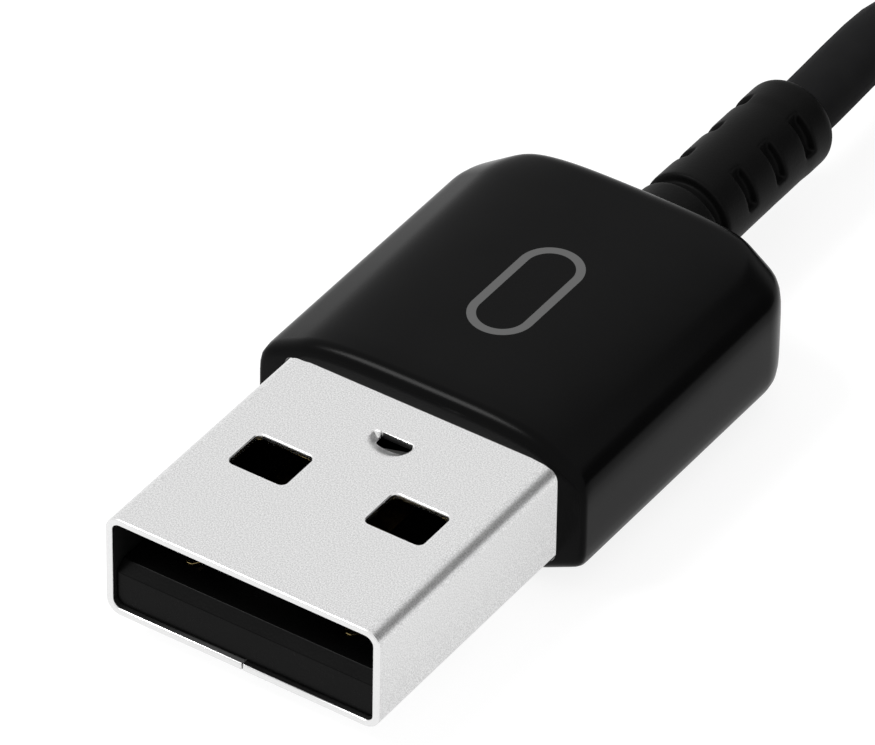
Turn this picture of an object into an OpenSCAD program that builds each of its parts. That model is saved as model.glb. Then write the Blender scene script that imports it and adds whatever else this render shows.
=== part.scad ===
// USB-A plug, moulded on the end of a thin lead.
// +Y runs from the mouth back along the lead, +X across the width, +Z up.
// The origin is under the middle of the plug, on the surface that it lies on.

/* [Metal shell] */
// Width of the shell
shell_w = 12.0; // [11.6:0.1:12.4]
// Height of the shell
shell_h = 4.5; // [4.3:0.1:4.8]
// Thickness of the sheet
sheet = 0.3; // [0.2:0.02:0.36]
// Outer radius of the four folds
fold_r = 0.65; // [0.5:0.05:0.9]
// How far the shell stands out of the housing
shell_out = 11.4; // [11.0:0.1:12.5]
// How far the shell runs on inside the housing
shell_in = 4.2; // [3.6:0.1:4.6]
// Width of the butt seam along the underside
seam_gap = 0.08; // [0.05:0.01:0.15]
// Length of the seam's dovetail
dovetail_len = 1.6; // [1.0:0.1:2.4]

/* [Latch windows] */
// Width of a window, across the plug
window_w = 2.5; // [2.0:0.1:3.0]
// Length of a window, along the plug
window_len = 2.0; // [1.5:0.1:2.5]
// Distance between the centres of a pair
window_pitch = 6.0; // [5.4:0.1:6.4]
// Distance from the mouth to a window
window_from = 5.0; // [4.6:0.1:5.6]
// Corner radius of a window
window_r = 0.25; // [0.1:0.05:0.5]
// How far the windows and the tongue lie to the right of the middle
punch_off = 0.12; // [-0.3:0.02:0.3]
// Width of the pressed-in tongue that stops the insulator
tongue_w = 1.9; // [1.4:0.1:2.2]
// Length of the tongue
tongue_len = 1.1; // [0.8:0.1:1.4]
// How far the end of the tongue is pressed in
tongue_drop = 0.4; // [0.2:0.05:0.6]

/* [Insulator and contacts] */
// Distance from the mouth to the insulator's face
face_set_back = 0.24; // [0.1:0.02:0.6]
// Clearance between the insulator and the shell
insulator_play = 0.06; // [0.02:0.01:0.12]
// Height of the insulator's top above the middle of the shell
ledge_z = -0.05; // [-0.2:0.05:0.1]
// Chamfer along the insulator's leading edge
lead_in = 0.4; // [0.2:0.05:0.6]
// Depth of the cavity that takes the socket's tongue
cavity_depth = 9.7; // [9.6:0.1:10.4]
// Width of a contact
contact_w = 1.0; // [0.8:0.05:1.1]
// Thickness of a contact
contact_t = 0.2; // [0.15:0.01:0.25]
// How far a contact stands above the insulator
contact_proud = 0.06; // [0.02:0.01:0.1]
// Distance between the outer contacts, which carry the power
power_pitch = 7.0; // [6.6:0.1:7.2]
// Distance between the inner contacts, which carry the data
data_pitch = 2.0; // [1.8:0.1:2.4]
// Distance from the mouth to the tips of the power contacts
power_tip = 1.7; // [1.2:0.1:2.2]
// How much further back the tips of the data contacts lie
data_lag = 1.0; // [0.6:0.1:1.4]
// Length of the solder tail behind the insulator
tail_len = 2.4; // [1.8:0.1:2.6]
// How far the insulator runs on behind the shell
insulator_out = 0.4; // [0.2:0.1:0.8]

/* [Housing] */
// Width of the housing
body_w = 14.5; // [14.0:0.1:16.0]
// Height of the housing
body_h = 6.7; // [6.5:0.1:8.0]
// Length of the housing
body_len = 15.2; // [15.0:0.1:18.0]
// Height of the flat side walls
side_h = 3.9; // [3.0:0.1:4.6]
// Width of the crowned top, and of the underside, at the front
crown_front_w = 10.2; // [8.0:0.1:11.0]
// Width of the crowned top and underside at the rear
crown_rear_w = 11.1; // [8.0:0.1:12.0]
// How far the crown drops from the middle to its edge
crown_drop = 0.3; // [0.1:0.05:0.6]
// Radius over the front edge of the top and the underside
front_r = 0.6; // [0.3:0.05:0.9]
// Radius down the front edges of the sides
front_side_r = 0.3; // [0.1:0.05:0.6]
// Radius of the rear corners, seen from above
corner_r = 2.6; // [1.5:0.1:4.0]
// Radius over the rear edge
rear_r = 0.9; // [0.6:0.1:1.6]
// Clearance between the housing and what it holds
housing_play = 0.05; // [0.02:0.01:0.1]

/* [Rear shield] */
// Thickness of the rear shield's sheet
shield_t = 0.25; // [0.2:0.01:0.3]
// How far the shield laps over the end of the shell
shield_lap = 2.0; // [1.2:0.1:2.6]
// Length of the shield, with its rear wall
shield_len = 8.6; // [8.2:0.1:9.0]
// Length of the collar that is crimped on the lead
crimp_len = 2.2; // [1.6:0.1:2.4]
// Thickness of the crimped collar
crimp_t = 0.25; // [0.2:0.01:0.3]

/* [Strain relief] */
// Length of the strain relief outside the housing
relief_len = 10.4; // [9.0:0.1:14.0]
// Diameter where it leaves the housing
relief_d = 3.95; // [3.6:0.05:4.6]
// Diameter at its waist
relief_waist_d = 3.75; // [3.5:0.05:4.4]
// Diameter of its end bead
relief_bead_d = 3.9; // [3.6:0.05:4.6]
// Radius of the end bead's edge
relief_end_r = 0.5; // [0.2:0.05:0.6]
// Distance from the housing to the first slot
slot_from = 2.4; // [1.6:0.1:3.0]
// Distance from one slot to the next
slot_pitch = 2.05; // [1.6:0.05:2.4]
// Number of side slots behind the first slot
side_slots = 3; // [1:1:4]
// Width of a slot
slot_w = 0.62; // [0.4:0.02:0.9]
// Wall that a slot leaves over the lead
slot_floor = 0.14; // [0.1:0.02:0.3]
// Height of the plain band along each side above the lead's middle
rib_up = 0.17; // [0.1:0.01:0.4]
// Depth of the plain band below the lead's middle
rib_down = 1.1; // [0.2:0.05:1.3]
// Width of the spine along the top and the underside
spine_w = 1.9; // [1.2:0.1:2.4]
// Diameter of the flange inside the housing
flange_d = 5.2; // [4.6:0.1:5.6]
// Thickness of the flange
flange_t = 0.9; // [0.6:0.1:1.0]

/* [Lead] */
// Diameter of the lead
lead_d = 2.6; // [2.2:0.1:2.8]
// How far the lead lies to the right of the plug's middle
lead_off = 0.18; // [-0.3:0.02:0.3]
// Thickness of the lead's jacket
jacket_t = 0.3; // [0.25:0.01:0.34]
// Diameter of an insulated core
core_d = 0.78; // [0.6:0.02:0.8]
// Diameter of a bare conductor
strand_d = 0.36; // [0.25:0.01:0.45]
// Thickness of the braid that is folded back over the jacket
braid_t = 0.15; // [0.1:0.01:0.2]
// Length of bare conductor on each solder tail
bare_len = 1.4; // [1.0:0.1:1.6]

/* [Bundle of lead] */
// Length of the straight part of the bundle's runs
run_len = 30; // [24:1:36]
// Radius of the inner turn at the ends
turn_r = 7.8; // [7.8:0.1:9.0]
// Half the gap between the runs' centrelines under the tie
waist_x = 3.6; // [3.0:0.1:5.0]
// Distance between turns that lie side by side
turn_pitch = 2.95; // [2.9:0.05:3.2]
// Turns on top of each other
levels = 4; // [3:1:5]
// Length of the tie along the bundle
tie_len = 6; // [4:0.5:8]
// Thickness of the tie
tie_t = 0.6; // [0.4:0.1:0.8]

/* [Connector on the far end] */
// Width of the metal nose
nose_w = 8.3; // [8.1:0.1:8.5]
// Height of the metal nose
nose_h = 2.5; // [2.4:0.05:2.6]
// Length of the metal nose
nose_len = 6.6; // [6.2:0.1:6.8]
// Wall of the metal nose
nose_wall = 0.25; // [0.2:0.01:0.3]
// Width of its housing
end_w = 11; // [10:0.5:12.5]
// Height of its housing
end_h = 5.4; // [5:0.2:6.4]
// Length of its housing
end_len = 16; // [14:0.5:20]
// Length of its strain relief
end_relief_len = 9; // [7:0.5:10]
// How far its nose runs into its housing
nose_in = 2; // [1.5:0.5:4]
// Depth of its mouth
nose_mouth = 5.8; // [5:0.1:6]
// How far its insert lies back from the mouth
nose_set_back = 0.3; // [0.1:0.1:0.6]
// Height of the slot in its insert
nose_slot = 0.8; // [0.7:0.05:1.1]

/* [Hidden] */

$fn = 48;
over = 0.01;  // how far a cut runs past the face that it opens

plug_len = shell_out + body_len + relief_len;
shell_len = shell_out + shell_in;
body_end = shell_out + body_len;
axis_z = body_h / 2;

insulator_w = shell_w - 2 * sheet - 2 * insulator_play;
insulator_h = shell_h - 2 * sheet - 2 * insulator_play;
insulator_end = shell_len + insulator_out;
contact_top = ledge_z + contact_proud;
groove_play = 0.05;   // round a contact
tongue_gap = 0.1;     // between the tongue's end and the insulator
shear_gap = 0.08;     // between the tongue and the sheet that it is cut from
tail_end = insulator_end + tail_len;

shield_from = shell_len - shield_lap;
shield_end = shield_from + shield_len;
shield_w = shell_w + 2 * housing_play + 2 * shield_t;
shield_h = shell_h + 2 * housing_play + 2 * shield_t;
braid_r = lead_d / 2 + braid_t;
crimp_r = braid_r + crimp_t;
crimp_end = shield_end + crimp_len;
flange_gap = 0.1;     // between the crimped collar and the flange
flange_from = crimp_end + flange_gap;

core_gap = 0.06;      // between neighbouring cores
core_r = core_d / 2;
core_bundle = core_r + core_gap / 2;  // the cores lie two by two in the jacket
jacket_in = 0.6;      // the jacket ends this far inside the shield
jacket_from = shield_end - jacket_in;
core_back = 0.3;      // a core's insulation ends this far behind its tail
core_from = tail_end + core_back;

// [name of the line, place across the plug, tip, side of the core in the lead, colour]
LINES = [
    ["vbus", power_pitch / 2, power_tip, [1, 1], "red"],
    ["d_minus", data_pitch / 2, power_tip + data_lag, [1, -1], "white"],
    ["d_plus", -data_pitch / 2, power_tip + data_lag, [-1, -1], "green"],
    ["ground", -power_pitch / 2, power_tip, [-1, 1], "black"]];

// The lead's route from the strain relief to the bundle: it sinks to the surface, then bends away
ROUTE = [
    [0.18, 18.5, 3.35], [0.18, 19.8, 3.35], [0.18, 21.1, 3.35], [0.18, 22.4, 3.35],
    [0.18, 23.7, 3.35], [0.18, 24.9, 3.3], [0.15, 26.0, 3.1], [0.1, 27.1, 2.8],
    [0.05, 28.3, 2.35], [0, 29.5, 1.95], [0, 30.7, 1.6], [0.05, 31.9, 1.4],
    [0.25, 33.1, 1.3], [0.55, 34.3, 1.3], [0.95, 35.4, 1.3], [1.45, 36.5, 1.3], [2.1, 37.6, 1.3]];
ring_every = 4;     // the tube has a ring at every fourth point
bundle_y = 51;      // where the runs of the bundle begin
bundle_side = turn_r + turn_pitch + lead_d / 2;
bundle_h = levels * lead_d;
end_x = 4.8;          // where the far connector lies across the bundle
end_relief_y = 60.5;  // where its strain relief begins
end_z = bundle_h + end_h / 2;
end_mouth = end_relief_len + end_len + nose_len;

// ---- shared shapes ----

// Puts a shape that is drawn from the mouth, about the shell's middle, in its place.
module in_plug() translate([0, -plug_len / 2, axis_z]) children();

// The same for what goes round the lead, which lies a little off the middle.
module on_lead() in_plug() translate([lead_off, 0, 0]) children();

// Extrudes a section along +Y from y = from; the section's second axis becomes +Z.
module along(from, length)
    translate([0, from + length, 0]) rotate([90, 0, 0]) linear_extrude(length) children();

module rounded_rect(w, h, r) {
    square([w - 2 * r, h], center = true);
    square([w, h - 2 * r], center = true);
    for (x = [-1, 1], y = [-1, 1])
        translate([x * (w / 2 - r), y * (h / 2 - r)]) circle(r);
}

module rod(from, length, r) translate([0, from, 0]) rotate([-90, 0, 0]) cylinder(length, r, r);

// A tube with one ring of points round each point of its route.
module swept(route, r, sides) {
    n = len(route);
    function way(i) = route[min(i + 1, n - 1)] - route[max(i - 1, 0)];
    function unit(v) = v / norm(v);
    rings = [for (i = [0 : n - 1]) let (
            t = unit(way(i)), across = unit(cross(t, [0, 0, 1])), up = cross(across, t))
        for (k = [0 : sides - 1])
            route[i] + r * (cos(360 * k / sides) * across + sin(360 * k / sides) * up)];
    polyhedron(rings, concat(
        [[for (k = [0 : sides - 1]) k]],
        [for (i = [0 : n - 2], k = [0 : sides - 1]) let (m = (k + 1) % sides)
            [i * sides + m, i * sides + k, (i + 1) * sides + k, (i + 1) * sides + m]],
        [[for (k = [sides - 1 : -1 : 0]) (n - 1) * sides + k]]));
}

// ---- metal shell ----

module window_cuts(z)
    for (side = [-1, 1])
        translate([punch_off + side * window_pitch / 2, window_from + window_len / 2, z])
            linear_extrude(2 * sheet, center = true) rounded_rect(window_w, window_len, window_r);

// The tongue is D-shaped: its hinge faces the mouth and its straight end the insulator.
module tongue_outline(grow = 0) {
    tip = cavity_depth - tongue_gap;
    intersection() {
        translate([punch_off, tip - tongue_len / 2])
            square([tongue_w + 2 * grow, tongue_len + 2 * grow], center = true);
        translate([punch_off, tip]) circle(0.63 * tongue_w + grow);
    }
}

module tongue() {
    hinge = cavity_depth - tongue_gap - tongue_len;
    translate([0, hinge, shell_h / 2]) rotate([-asin(tongue_drop / tongue_len), 0, 0])
        translate([0, -hinge, -sheet]) linear_extrude(sheet) tongue_outline();
}

// A butt seam along the underside, locked by one dovetail.
module seam() {
    mid = shell_out * 0.6;
    w = seam_gap / 2;
    narrow = dovetail_len * 0.3;
    wide = dovetail_len * 0.5;
    translate([0, 0, -shell_h / 2 - over]) linear_extrude(sheet + 2 * over) {
        translate([-w, -over]) square([seam_gap, mid - dovetail_len / 2 + over]);
        translate([-w, mid + dovetail_len / 2]) square([seam_gap, shell_len]);
        difference() {
            polygon([[-w, mid - dovetail_len / 2 - w], [narrow + w, mid - dovetail_len / 2 - w],
                     [wide + w, mid + dovetail_len / 2 + w], [-w, mid + dovetail_len / 2 + w]]);
            polygon([[-w - over, mid - dovetail_len / 2 + w], [narrow - w, mid - dovetail_len / 2 + w],
                     [wide - w, mid + dovetail_len / 2 - w], [-w - over, mid + dovetail_len / 2 - w]]);
        }
    }
}

module shell() color([0.80, 0.80, 0.80]) in_plug() {
    difference() {
        along(0, shell_len) rounded_rect(shell_w, shell_h, fold_r);
        along(-over, shell_len + 2 * over)
            rounded_rect(shell_w - 2 * sheet, shell_h - 2 * sheet, fold_r - sheet);
        for (side = [-1, 1]) window_cuts(side * (shell_h - sheet) / 2);
        seam();
        translate([0, 0, shell_h / 2 - 2 * sheet]) linear_extrude(3 * sheet) tongue_outline(shear_gap);
    }
    tongue_bridge();
    tongue();
}

// The strip of sheet that the tongue bends down from.
module tongue_bridge() {
    hinge = cavity_depth - tongue_gap - tongue_len;
    translate([0, 0, shell_h / 2 - sheet]) linear_extrude(sheet) intersection() {
        tongue_outline(shear_gap);
        translate([punch_off - tongue_w, hinge - sheet]) square([2 * tongue_w, sheet + 0.05]);
    }
}

// ---- insulator and contacts ----

module insulator() color([0.06, 0.06, 0.06]) in_plug() difference() {
    intersection() {
        along(face_set_back, insulator_end - face_set_back)
            rounded_rect(insulator_w, insulator_h, fold_r - sheet);
        rotate([90, 0, 90]) linear_extrude(shell_w, center = true) polygon([
            [face_set_back, -shell_h / 2], [face_set_back, ledge_z - lead_in],
            [face_set_back + lead_in, ledge_z], [cavity_depth, ledge_z],
            [cavity_depth, shell_h / 2], [insulator_end, shell_h / 2], [insulator_end, -shell_h / 2]]);
    }
    for (line = LINES) contact_slot(line[1], line[2]);
}

// The groove in the ledge and the slit through the block behind it.
module contact_slot(x, tip) {
    w = contact_w + 2 * groove_play;
    translate([x - w / 2, tip - groove_play, contact_top - contact_t])
        cube([w, insulator_end, contact_t + groove_play]);
}

module contact(x, tip) color([0.80, 0.62, 0.25]) in_plug() translate([x, 0, 0]) {
    nose = contact_t;
    translate([-contact_w / 2, tip + nose, contact_top - contact_t])
        cube([contact_w, tail_end - tip - nose, contact_t]);
    intersection() {
        translate([-contact_w / 2, tip, contact_top - contact_t]) cube([contact_w, nose, contact_t]);
        translate([0, tip + nose, contact_top - contact_t]) rotate([0, 90, 0])
            cylinder(contact_w, nose, nose, center = true);
    }
}

// The bare conductor in its bead of solder, on top of the contact's tail.
module solder(x) color([0.72, 0.72, 0.74]) in_plug() difference() {
    bead_r = contact_w * 0.42;
    translate([x, core_from - bare_len, contact_top + strand_d / 2]) {
        rod(0, bare_len, strand_d / 2);
        rod(core_back / 2, tail_end - core_from + bare_len - core_back, bead_r);
    }
    translate([x - contact_w, 0, contact_top - 2 * contact_t])
        cube([2 * contact_w, 2 * plug_len, 2 * contact_t]);
}

// ---- lead inside the plug ----

// A core runs straight off its tail, swings over to its place in the lead and runs on in it.
module core(x, side, shade) color(shade) in_plug() {
    z = contact_top + strand_d / 2;
    lead_x = lead_off + side.x * core_bundle;
    lead_z = side.y * core_bundle;
    steps = 6;
    straight = 0.2;
    swept(concat(
        [[x, core_from, z]],
        [for (i = [0 : steps]) let (t = (1 - cos(180 * i / steps)) / 2)
            [x + (lead_x - x) * t,
             core_from + straight + (jacket_from - core_from - 2 * straight) * i / steps,
             z + (lead_z - z) * t]],
        [[lead_x, jacket_from, lead_z], [lead_x, plug_len, lead_z]]), core_r, 12);
}

module jacket_end() color([0.07, 0.07, 0.07]) on_lead() difference() {
    rod(jacket_from, plug_len - jacket_from, lead_d / 2);
    rod(jacket_from - over, plug_len - jacket_from + 2 * over, lead_d / 2 - jacket_t);
}

module braid() color([0.70, 0.52, 0.40]) on_lead() difference() {
    rod(shield_end, crimp_len, braid_r);
    rod(shield_end - over, crimp_len + 2 * over, lead_d / 2);
}

module rear_shield() color([0.75, 0.75, 0.75]) in_plug() difference() {
    union() {
        along(shield_from, shield_len) rounded_rect(shield_w, shield_h, fold_r + shield_t);
        translate([lead_off, 0, 0]) rod(shield_end - over, crimp_len + over, crimp_r);
    }
    along(shield_from - over, shield_len - shield_t + over)
        rounded_rect(shield_w - 2 * shield_t, shield_h - 2 * shield_t, fold_r);
    translate([lead_off, 0, 0]) rod(shield_from, shield_len + crimp_len + over, braid_r);
}

// ---- housing ----

// Inset of a rounded edge at a distance t from its end, for an edge of radius r.
function inset(t, r) = t >= r ? 0 : r - sqrt(r * r - (r - t) * (r - t));

// One quarter of the section at a share t of the length, from the middle of the top to the side:
// a crown that drops faster and faster to its edge, a straight shoulder and half the upright side.
crown_steps = 8;
function crown_edge(t) = (crown_front_w + (crown_rear_w - crown_front_w) * t) / 2;
function quarter(t) = concat(
    [for (i = [0 : crown_steps])
        [crown_edge(t) * i / crown_steps, body_h / 2 - crown_drop * pow(i / crown_steps, 4)]],
    [[body_w / 2, side_h / 2]]);
function section(t) = let (q = quarter(t), n = len(q) - 1) concat(
    q,
    [for (i = [n : -1 : 1]) [q[i].x, -q[i].y]],
    [for (i = [0 : n]) [-q[i].x, -q[i].y]],
    [for (i = [n : -1 : 1]) [-q[i].x, q[i].y]]);

// Stations along the housing: close together where the ends are rounded.
edge_steps = 6;
function stations() = concat(
    [for (i = [0 : edge_steps]) front_r * (1 - cos(90 * i / edge_steps))],
    [for (i = [0 : 2 * edge_steps]) body_len - corner_r * (1 - sin(90 * i / edge_steps / 2))]);
function widen(t) = 1 - 2 * max(inset(t, front_side_r), inset(body_len - t, corner_r)) / body_w;
function raise(t) = 1 - 2 * max(inset(t, front_r), inset(body_len - t, rear_r)) / body_h;

module housing_form() {
    rows = stations();
    n = len(section(0));
    last = (len(rows) - 1) * n;
    polyhedron(
        [for (t = rows, p = section(t / body_len)) [p.x * widen(t), shell_out + t, p.y * raise(t)]],
        concat(
            [[for (k = [n - 1 : -1 : 0]) k]],
            [for (j = [0 : len(rows) - 2], k = [0 : n - 1]) let (m = (k + 1) % n)
                [j * n + k, j * n + m, (j + 1) * n + m, (j + 1) * n + k]],
            [[for (k = [0 : n - 1]) last + k]]));
}

module housing() color([0.10, 0.10, 0.10]) in_plug() difference() {
    housing_form();
    along(shell_out - over, shell_in)
        rounded_rect(shell_w + 2 * housing_play, shell_h + 2 * housing_play, fold_r);
    along(shield_from - housing_play, shield_len + 2 * housing_play)
        rounded_rect(shield_w + 2 * housing_play, shield_h + 2 * housing_play, fold_r + shield_t);
    translate([lead_off, 0, 0]) {
        rod(shield_end, crimp_len + flange_gap, crimp_r + housing_play);
        rod(flange_from, flange_t, flange_d / 2);
        rod(flange_from, plug_len, relief_d / 2);
    }
}

// ---- strain relief ----

module relief_blank() {
    bead_len = 1.6;
    end = body_end + relief_len;
    rotate([-90, 0, 0]) rotate_extrude() difference() {
        union() {
            translate([0, flange_from]) square([flange_d / 2, flange_t]);
            polygon([[0, flange_from], [relief_d / 2, flange_from], [relief_d / 2, body_end + 0.5],
                     [relief_waist_d / 2, body_end + relief_len / 2],
                     [relief_waist_d / 2, end - 1.3 * bead_len], [relief_bead_d / 2, end - bead_len],
                     [relief_bead_d / 2, end - relief_end_r],
                     [relief_bead_d / 2 - relief_end_r, end - relief_end_r], [0, end - relief_end_r]]);
            translate([relief_bead_d / 2 - relief_end_r, end - relief_end_r]) circle(relief_end_r);
            translate([0, end - relief_end_r - over])
                square([relief_bead_d / 2 - relief_end_r, relief_end_r + over]);
        }
        translate([-lead_d, 0]) square([1.5 * lead_d, 2 * end]);
    }
}

// A ring-shaped slot round the lead, stopped at the plain band along each side.
module slot_ring(y) difference() {
    rod(y - slot_w / 2, slot_w, relief_d);
    rod(y - slot_w, 2 * slot_w, lead_d / 2 + slot_floor);
    translate([-2 * relief_d, y - slot_w, -rib_down])
        cube([4 * relief_d, 2 * slot_w, rib_up + rib_down]);
}

module strain_relief() color([0.12, 0.12, 0.12]) on_lead() difference() {
    relief_blank();
    slot_ring(body_end + slot_from);
    for (i = [1 : side_slots]) difference() {
        slot_ring(body_end + slot_from + i * slot_pitch);
        translate([-spine_w / 2, body_end, -relief_d]) cube([spine_w, relief_len, 2 * relief_d]);
    }
}

// ---- lead outside the plug ----

function lead_rings() = [for (i = [0 : ring_every : len(ROUTE) - 1]) ROUTE[i]];

module lead_run() color([0.09, 0.09, 0.09]) swept(lead_rings(), lead_d / 2, 8);

// Half the distance between the runs at y: wide at both ends, narrow under the tie.
blend = (run_len - tie_len) / 2;
function narrowing(y) = let (t = min(y, run_len - y, blend) / blend) (1 - cos(180 * t)) / 2;
function run_x(y) = turn_r - (turn_r - waist_x) * narrowing(y);
bend_steps = 12;
function run_stations() = concat(
    [for (i = [0 : bend_steps]) blend * i / bend_steps],
    [for (i = [0 : bend_steps]) run_len - blend + blend * i / bend_steps]);
function run_side(grow) = [for (y = run_stations()) [run_x(y) + grow, y]];
function run_turn(r) = [for (i = [1 : bend_steps - 1]) let (a = 180 * i / bend_steps)
    r * [cos(a), sin(a)]];
function bundle_outline(grow) = let (side = run_side(grow), turn = run_turn(turn_r + grow)) concat(
    side, [for (p = turn) [p.x, run_len + p.y]],
    [for (i = [len(side) - 1 : -1 : 0]) [-side[i].x, side[i].y]],
    -turn);

// The first turn as it leaves the bundle, square to the end of the lead's run.
module bundle_entry() {
    rings = lead_rings();
    last = rings[len(rings) - 1];
    way = last - rings[len(rings) - 2];
    translate([last.x, last.y, 0]) rotate([0, 0, -atan2(way.x, way.y)])
        translate([-lead_d / 2, 0, 0]) cube([lead_d, turn_r / 2, lead_d]);
}

module lead_bundle() color([0.09, 0.09, 0.09]) difference() {
    union() {
        translate([0, bundle_y, 0]) linear_extrude(bundle_h) difference() {
            polygon(bundle_outline(turn_pitch + lead_d / 2));
            polygon(bundle_outline(-lead_d / 2));
        }
        bundle_entry();
    }
    translate([0, bundle_y + run_len / 2, tie_t / 2])
        cube([2 * bundle_side, tie_len, tie_t], center = true);
}

module bundle_tie() color([0.15, 0.15, 0.15]) translate([0, bundle_y + (run_len - tie_len) / 2, 0]) {
    w = 2 * (waist_x + turn_pitch + lead_d / 2);
    translate([0, 0, (bundle_h + tie_t) / 2]) difference() {
        along(0, tie_len) rounded_rect(w + 2 * tie_t, bundle_h + tie_t, tie_t);
        along(-over, tie_len + 2 * over) square([w, bundle_h - tie_t], center = true);
    }
}

// ---- connector on the far end ----

module end_place() translate([end_x, end_relief_y, end_z]) children();

// Draws a section of the nose, from where it starts in the housing; grow is added all round.
module nose_section(grow) {
    h = nose_h + 2 * grow;
    rounded_rect(nose_w + 2 * grow, h, h / 2 - over);
}

module end_nose() color([0.78, 0.78, 0.78]) end_place() difference() {
    along(end_mouth - nose_len - nose_in, nose_len + nose_in) nose_section(0);
    along(end_mouth - nose_len - nose_in - over, nose_len + nose_in + 2 * over) nose_section(-nose_wall);
}

module end_insert() color([0.06, 0.06, 0.06]) end_place() difference() {
    along(end_mouth - nose_len - nose_in, nose_len + nose_in - nose_set_back)
        nose_section(-nose_wall - insulator_play);
    along(end_mouth - nose_mouth, nose_mouth)
        rounded_rect(nose_w - 2 * nose_wall - 2 * insulator_play - nose_slot, nose_slot, nose_slot * 0.4);
}

module end_housing() color([0.10, 0.10, 0.10]) end_place() difference() {
    along(end_relief_len, end_len) rounded_rect(end_w, end_h, end_h * 0.3);
    along(end_mouth - nose_len - nose_in, nose_len) nose_section(0);
}

// A tapered sleeve with four ring-shaped grooves.
module end_relief() color([0.12, 0.12, 0.12]) end_place() rotate([-90, 0, 0]) difference() {
    rings = 4;
    cylinder(end_relief_len, lead_d * 0.65, lead_d * 0.8);
    for (i = [1 : rings]) translate([0, 0, (i * end_relief_len - slot_w) / (rings + 1)]) difference() {
        cylinder(slot_w, lead_d, lead_d);
        cylinder(slot_w, lead_d * 0.55, lead_d * 0.55);
    }
}

shell();
insulator();
contact(LINES[0][1], LINES[0][2]);  // contact_vbus
contact(LINES[1][1], LINES[1][2]);  // contact_d_minus
contact(LINES[2][1], LINES[2][2]);  // contact_d_plus
contact(LINES[3][1], LINES[3][2]);  // contact_ground
solder(LINES[0][1]);  // solder_vbus
solder(LINES[1][1]);  // solder_d_minus
solder(LINES[2][1]);  // solder_d_plus
solder(LINES[3][1]);  // solder_ground
core(LINES[0][1], LINES[0][3], LINES[0][4]);  // core_vbus
core(LINES[1][1], LINES[1][3], LINES[1][4]);  // core_d_minus
core(LINES[2][1], LINES[2][3], LINES[2][4]);  // core_d_plus
core(LINES[3][1], LINES[3][3], LINES[3][4]);  // core_ground
rear_shield();
braid();
jacket_end();
housing();
strain_relief();
lead_run();
lead_bundle();
bundle_tie();
end_nose();
end_insert();
end_housing();
end_relief();
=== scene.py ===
import math

import bmesh
import bpy
from mathutils import Matrix, Vector


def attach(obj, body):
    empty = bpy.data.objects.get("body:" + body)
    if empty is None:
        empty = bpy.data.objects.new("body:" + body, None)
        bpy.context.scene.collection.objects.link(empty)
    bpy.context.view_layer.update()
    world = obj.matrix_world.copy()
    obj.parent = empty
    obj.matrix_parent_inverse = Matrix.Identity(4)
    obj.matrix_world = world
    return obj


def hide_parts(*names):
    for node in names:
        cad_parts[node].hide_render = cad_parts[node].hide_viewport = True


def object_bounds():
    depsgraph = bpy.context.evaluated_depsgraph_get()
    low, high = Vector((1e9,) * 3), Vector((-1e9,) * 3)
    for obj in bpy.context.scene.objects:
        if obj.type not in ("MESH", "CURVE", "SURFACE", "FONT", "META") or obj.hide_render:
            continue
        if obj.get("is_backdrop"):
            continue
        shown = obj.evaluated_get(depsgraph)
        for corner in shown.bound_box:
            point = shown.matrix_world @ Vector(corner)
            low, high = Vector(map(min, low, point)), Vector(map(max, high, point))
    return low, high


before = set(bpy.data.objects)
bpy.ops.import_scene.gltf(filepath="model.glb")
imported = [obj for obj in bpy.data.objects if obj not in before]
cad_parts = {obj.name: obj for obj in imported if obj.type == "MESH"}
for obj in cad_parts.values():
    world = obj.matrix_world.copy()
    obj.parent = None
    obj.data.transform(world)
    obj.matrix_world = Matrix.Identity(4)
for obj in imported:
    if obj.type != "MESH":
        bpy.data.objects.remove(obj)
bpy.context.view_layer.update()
MM = 0.001

# ---- camera ----
# A long lens looks down on the plug from in front and from its right-hand side,
# turned a hair about its own axis.
view_back = Vector((0.43389, -0.65257, 0.62121))
view_up = Vector((-0.35449, 0.51023, 0.78358))
view_right = view_up.cross(view_back)
view_from = Vector((136.10, -210.66, 201.52)) * MM
camera_data = bpy.data.cameras.new("camera")
camera_data.sensor_width = 36
camera_data.lens = 352.6
camera_data.clip_start = 0.01
camera = bpy.data.objects.new("camera", camera_data)
camera.matrix_world = Matrix.Translation(view_from) @ Matrix(
    (view_right, view_up, view_back)).transposed().to_4x4()
bpy.context.scene.collection.objects.link(camera)
bpy.context.scene.camera = camera

# ---- lead ----
# A metre of thin round lead in a smooth black jacket. It leaves the strain relief, sinks to
# the surface and is folded into a hank behind the plug, eight turns, two side by side on four
# levels, squeezed together in the middle by a tie.
lead_d = 2.6
plug_end = 18.5
lead_x = 0.18
axis_z = 3.35
# From the strain relief down to the surface and aside.
route = [
    (0.18, 18.5, 3.35), (0.17, 19.8, 3.37), (0.14, 21.1, 3.39), (0.10, 22.4, 3.41),
    (0.07, 23.7, 3.41), (0.07, 24.9, 3.35), (0.08, 26.0, 3.13), (0.08, 27.1, 2.8),
    (0.05, 28.3, 2.35), (0, 29.5, 1.95), (0, 30.7, 1.6), (0.05, 31.9, 1.4),
    (0.25, 33.1, 1.3), (0.55, 34.3, 1.3), (0.95, 35.4, 1.3), (1.45, 36.5, 1.3), (2.1, 37.6, 1.3)]
hank_from = 51.0
hank_run = 30.0
hank_turn = 7.8
hank_waist = 3.6
hank_pitch = 2.95
hank_levels = 4
tie_len = 6.0
tie_t = 0.6
end_rise = 4.0
step = 1.0


def ease(t):
    """A smooth rise from 0 to 1 as t goes from 0 to 1."""
    return (1 - math.cos(math.pi * min(max(t, 0), 1))) / 2


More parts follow.
